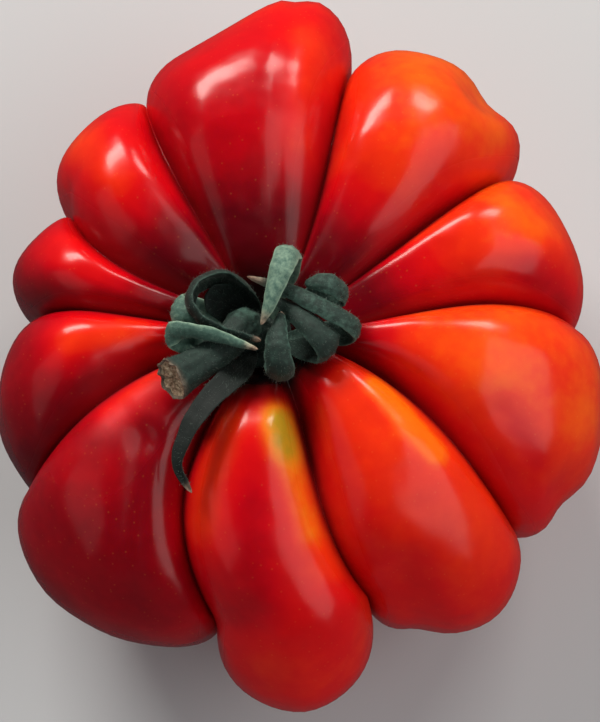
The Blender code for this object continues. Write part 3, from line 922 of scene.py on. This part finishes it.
def cut_face_material():
    """Dried pith: straw-coloured fibres, matt and frayed."""
    material, tree, shader = new_material("dried_stalk_pith")
    here = add_node(tree, "ShaderNodeTexCoord").outputs["Object"]

    # Frayed fibres about 0.45 mm apart.
    fibres = add_node(
        tree, "ShaderNodeTexNoise",
        {"Scale": pattern_scale(0.4545), "Detail": 5.0, "Roughness": 0.7}, {"Vector": here},
    )
    straw = add_node(tree, "ShaderNodeValToRGB", {}, {"Fac": fibres.outputs["Fac"]})
    set_ramp(straw, ((0.30, "#4A3A2A"), (0.50, "#9A8468"), (0.72, "#DCCBB0")))
    bump = add_node(
        tree, "ShaderNodeBump", {"Strength": 1.0, "Distance": 0.3 * MM},
        {"Height": fibres.outputs["Fac"]},
    )
    tree.links.new(straw.outputs["Color"], shader.inputs["Base Color"])
    tree.links.new(bump.outputs["Normal"], shader.inputs["Normal"])
    shader.inputs["Roughness"].default_value = 0.85
    return material


stalk.data.materials.append(downy_green)
stalk.data.materials.append(cut_face_material())
for face in stalk.data.polygons:
    if min(stalk_marks["cut"][index] for index in face.vertices) > 0.5:
        face.material_index = CUT_SLOT
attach(stalk, "root")
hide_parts("calyx_and_stalk")
green_pieces.append(stalk)

# The receptacle swells a little under each sepal.
RECEPTACLE_RADIUS = 4.6
RECEPTACLE_LOW = 45.9
RECEPTACLE_HIGH = 49.0
RECEPTACLE_SWELL = 0.04
RECEPTACLE_PALENESS = 0.2

bpy.ops.mesh.primitive_uv_sphere_add(segments=60, ring_count=30, radius=1.0)
receptacle = bpy.context.object
receptacle.name = "receptacle"
middle = (RECEPTACLE_LOW + RECEPTACLE_HIGH) / 2
half_height = (RECEPTACLE_HIGH - RECEPTACLE_LOW) / 2
for vertex in receptacle.data.vertices:
    angle = math.atan2(vertex.co.y, vertex.co.x)
    swell = 1 + RECEPTACLE_SWELL * math.cos(len(SEPALS) * angle)
    point = Vector((
        vertex.co.x * RECEPTACLE_RADIUS * swell,
        vertex.co.y * RECEPTACLE_RADIUS * swell,
        middle + vertex.co.z * half_height,
    ))
    vertex.co = point * MM + stem_axis
for name, value in (("paleness", RECEPTACLE_PALENESS), ("dryness", 0.0), ("edge", 0.0)):
    paint(receptacle.data, name, [value] * len(receptacle.data.vertices))
bpy.ops.object.shade_smooth()
receptacle.data.materials.append(downy_green)
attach(receptacle, "root")
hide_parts("calyx_and_stalk")


# ------------------------------------------------------------------ grey down
# Short stiff hairs that cover the stalk and sepals and catch the light along their rims.
# Real ones are about 0.02 mm thick; these are drawn a little coarser so that they show.
DOWN_PER_SQUARE_MM = 2.6
DOWN_LENGTHS = (0.20, 0.65)
DOWN_RADIUS = 0.014
DOWN_SINK = 0.02
DOWN_SPREAD = 0.4
DOWN_SEED = 5


def add_spike(form, root, grow, length):
    """A three-sided spike in a mesh, its base a little below its root."""
    side = grow.orthogonal().normalized() * DOWN_RADIUS * MM
    other = grow.cross(side)
    base = root - grow * DOWN_SINK * MM
    ring = [
        form.verts.new(base + side),
        form.verts.new(base - side * 0.5 + other * 0.87),
        form.verts.new(base - side * 0.5 - other * 0.87),
    ]
    tip = form.verts.new(root + grow * length)
    for first, second in ((0, 1), (1, 2), (2, 0)):
        form.faces.new((ring[first], ring[second], tip))
    form.faces.new((ring[2], ring[1], ring[0]))


def grow_down(pieces):
    """Hairs set at random over the green faces of the pieces, as one mesh."""
    draw = random.Random(DOWN_SEED)
    form = bmesh.new()
    for piece in pieces:
        points = [vertex.co for vertex in piece.data.vertices]
        # A new sphere's faces come in a different order each time, so they are sorted first.
        for face in sorted(piece.data.polygons, key=lambda face: sorted(face.vertices)):
            if face.material_index == CUT_SLOT:
                continue
            expected = face.area / (MM * MM) * DOWN_PER_SQUARE_MM
            corners = [points[index] for index in sorted(face.vertices)]
            for _ in range(int(expected + draw.random())):
                shares = [draw.random() for _ in corners]
                root = Vector((0, 0, 0))
                for corner, share in zip(corners, shares):
                    root += corner * (share / sum(shares))
                sway = Vector((draw.gauss(0, 1), draw.gauss(0, 1), draw.gauss(0, 1)))
                grow = (face.normal + sway * DOWN_SPREAD).normalized()
                add_spike(form, root, grow, draw.uniform(*DOWN_LENGTHS) * MM)
    mesh = bpy.data.meshes.new("grey_down")
    form.to_mesh(mesh)
    form.free()
    return mesh


def down_material():
    """Plant hairs: clear stiff cells that read as pale grey."""
    material, _, shader = new_material("clear_plant_hair")
    shader.inputs["Base Color"].default_value = linear("#74857B")
    shader.inputs["Roughness"].default_value = 0.5
    shader.inputs["IOR"].default_value = 1.45
    return material


down = bpy.data.objects.new("grey_down", grow_down(green_pieces))
bpy.context.scene.collection.objects.link(down)
down.data.materials.append(down_material())
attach(down, "root")
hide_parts("calyx_and_stalk")


# ------------------------------------------------------- floor, light and camera
# A plain pale table top under two soft windows beyond the fruit, a broad panel high on its
# right that lays the wide pale sheen, a weak wall on its left, a low bounce from the near
# side and a dim even room. The camera looks down, 12 degrees off the stem axis.
FLOOR_SIZE = 6.0
AIM = Vector((-0.4 * MM, -1.9 * MM, 30 * MM))
CAMERA_DISTANCE = 265 * MM
CAMERA_ELEVATION = 78
CAMERA_LENS = 81.8
SENSOR_WIDTH = 36.0
# The even room lights the fruit a little more than it shows in its gloss.
ROOM_LIGHT = 0.09
ROOM_GLOSS = 0.06

bpy.ops.mesh.primitive_plane_add(size=FLOOR_SIZE, location=(0, 0, 0))
floor = bpy.context.object
floor.name = "floor"
floor_material, _, floor_shader = new_material("pale_floor")
floor_shader.inputs["Base Color"].default_value = linear("#B9BDC0")
floor_shader.inputs["Roughness"].default_value = 0.9
floor.data.materials.append(floor_material)
floor.visible_glossy = False


def add_light(name, place, size, power, colour):
    """A soft rectangular light at a place in metres, turned to the fruit."""
    light = bpy.data.lights.new(name, "AREA")
    light.shape = "RECTANGLE"
    light.size, light.size_y = size
    light.energy = power
    light.color = linear(colour)[:3]
    item = bpy.data.objects.new(name, light)
    bpy.context.scene.collection.objects.link(item)
    item.location = place
    item.rotation_euler = (AIM - Vector(place)).to_track_quat("-Z", "Y").to_euler()
    return item


add_light("window", (-0.40, 0.80, 0.66), (0.62, 0.34), 13.0, "#FFF8F0")
add_light("far_window", (0.42, 0.79, 0.66), (0.34, 0.30), 4.6, "#FFF8F0")
bounce = add_light("bounce", (-0.10, -0.80, 0.10), (1.20, 0.50), 1.5, "#FFF4F0")
bounce.visible_glossy = False
add_light("panel", (0.86, -0.16, 0.82), (1.40, 1.10), 8.2, "#FFFAF6")
add_light("wall", (-0.85, -0.35, 0.70), (1.00, 0.90), 1.3, "#FFFAF6")
world = bpy.data.worlds.new("soft_room")
world.use_nodes = True
room = world.node_tree.nodes["Background"]
room.inputs["Color"].default_value = linear("#E4E9F0")
rays = add_node(world.node_tree, "ShaderNodeLightPath")
room_light = add_node(
    world.node_tree, "ShaderNodeMapRange", {"To Min": ROOM_LIGHT, "To Max": ROOM_GLOSS},
    {"Value": rays.outputs["Is Glossy Ray"]},
)
world.node_tree.links.new(room_light.outputs["Result"], room.inputs["Strength"])
bpy.context.scene.world = world
bpy.context.scene.view_settings.view_transform = "Standard"

camera = bpy.data.objects.new("camera", bpy.data.cameras.new("camera"))
bpy.context.scene.collection.objects.link(camera)
camera.data.sensor_width = SENSOR_WIDTH
camera.data.lens = CAMERA_LENS
elevation = math.radians(CAMERA_ELEVATION)
look = Vector((0, math.cos(elevation), -math.sin(elevation)))
camera.location = AIM - look * CAMERA_DISTANCE
camera.rotation_euler = look.to_track_quat("-Z", "Y").to_euler()
bpy.context.scene.camera = camera
